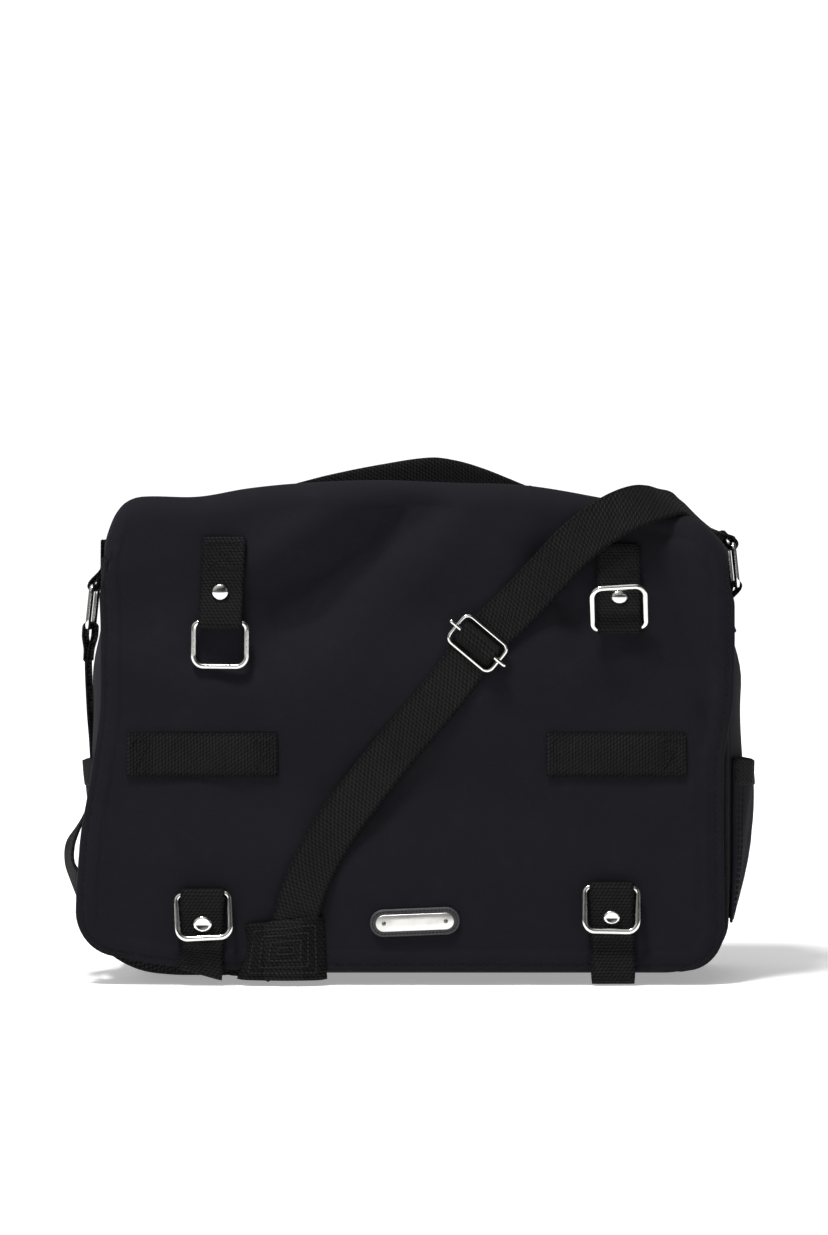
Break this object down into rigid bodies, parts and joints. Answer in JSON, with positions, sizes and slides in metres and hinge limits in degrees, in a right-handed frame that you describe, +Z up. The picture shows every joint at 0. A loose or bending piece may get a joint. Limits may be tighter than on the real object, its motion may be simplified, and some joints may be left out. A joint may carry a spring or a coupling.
{
  "type": "messenger bag",
  "caption": "Soft canvas messenger bag with a front flap, webbing shoulder strap with a slider, metal rings on webbing tabs and a grab handle.",
  "frame": {"origin": "middle of the bag's flat bottom, where the bag stands", "axes": "+Z up from the bottom to the handle, -Y out of the flap's front face, +X to the right as seen from the front"},
  "size_m": [0.4148, 0.1292, 0.3214],
  "materials": {
    "canvas": "matt tightly woven black canvas",
    "lining": "matt lining cloth",
    "webbing": "matt woven webbing with a slight sheen",
    "leather": "satin dark leather",
    "nickel": "polished nickel",
    "silver": "satin silver"
  },
  "bodies": {
    "bag": {"front_panel": "canvas", "back_panel": "canvas", "bottom_panel": "canvas", "gusset_left": "canvas", "gusset_right": "canvas", "inner_pocket": "lining", "side_pocket_left": "canvas", "side_pocket_right": "canvas", "side_pocket_floor_left": "canvas", "side_pocket_floor_right": "canvas", "side_pocket_trim_left": "webbing", "side_pocket_trim_right": "webbing", "front_piping": "webbing", "back_piping": "webbing", "side_tab_left": "webbing", "side_tab_right": "webbing", "snap_stud_lower_left": "nickel", "snap_stud_lower_right": "nickel", "strap_left_run": "webbing", "strap_rise": "webbing"},
    "flap": {"flap": "canvas", "tab_upper_left": "webbing", "tab_upper_right": "webbing", "tab_lower_left": "webbing", "tab_lower_right": "webbing", "rivet_upper_left": "nickel", "rivet_upper_right": "nickel", "stud_lower_left": "nickel", "stud_lower_right": "nickel", "snap_socket_lower_left": "nickel", "snap_socket_lower_right": "nickel", "lash_strip_left": "webbing", "lash_strip_right": "webbing", "badge_backing": "leather", "badge_plate": "silver", "badge_pin_left": "nickel", "badge_pin_right": "nickel", "handle_anchor_left": "webbing", "handle_anchor_right": "webbing", "strap_front_run": "webbing", "strap_patch": "webbing", "strap_hook": "webbing", "strap_tuck": "webbing"},
    "ring_upper_left": {"ring_upper_left": "nickel"},
    "ring_upper_right": {"ring_upper_right": "nickel"},
    "ring_lower_left": {"ring_lower_left": "nickel"},
    "ring_lower_right": {"ring_lower_right": "nickel"},
    "side_ring_left": {"side_ring_left": "nickel", "strap_end_left": "webbing"},
    "side_ring_right": {"side_ring_right": "nickel", "strap_end_right": "webbing"},
    "handle": {"handle": "webbing"},
    "slider": {"slider_frame": "nickel", "slider_bar": "nickel"}
  },
  "joints": [
    {"name": "flap_open", "type": "hinge", "parent": "bag", "child": "flap", "pos_m": [0, 0.0535, 0.288], "axis": [-1, 0, 0], "range_deg": [0, 100]},
    {"name": "ring_upper_left_swing", "type": "hinge", "parent": "flap", "child": "ring_upper_left", "pos_m": [-0.1165, -0.06365, 0.2172], "axis": [-1, 0, 0], "range_deg": [0, 155]},
    {"name": "ring_upper_right_swing", "type": "hinge", "parent": "flap", "child": "ring_upper_right", "pos_m": [0.1225, -0.06365, 0.2142], "axis": [1, 0, 0], "range_deg": [0, 156]},
    {"name": "ring_lower_left_swing", "type": "hinge", "parent": "flap", "child": "ring_lower_left", "pos_m": [-0.127, -0.06365, 0.0547], "axis": [-1, 0, 0], "range_deg": [0, 150]},
    {"name": "ring_lower_right_swing", "type": "hinge", "parent": "flap", "child": "ring_lower_right", "pos_m": [0.1178, -0.06365, 0.0587], "axis": [-1, 0, 0], "range_deg": [0, 150]},
    {"name": "side_ring_left_swing", "type": "hinge", "parent": "bag", "child": "side_ring_left", "pos_m": [-0.19845, 0, 0.24], "axis": [0, 1, 0], "range_deg": [-4, 100], "deforming": ["strap_left_run"]},
    {"name": "side_ring_right_swing", "type": "hinge", "parent": "bag", "child": "side_ring_right", "pos_m": [0.19845, 0, 0.24], "axis": [0, 1, 0], "range_deg": [-2, 75], "deforming": ["strap_rise"]},
    {"name": "handle_swing", "type": "hinge", "parent": "flap", "child": "handle", "pos_m": [0, 0.022, 0.3042], "axis": [1, 0, 0], "range_deg": [-50, 50]},
    {"name": "slider_slide", "type": "slide", "parent": "flap", "child": "slider", "axis": [0.6428, 0, 0.766], "range_m": [-0.02, 0.02]}
  ]
}
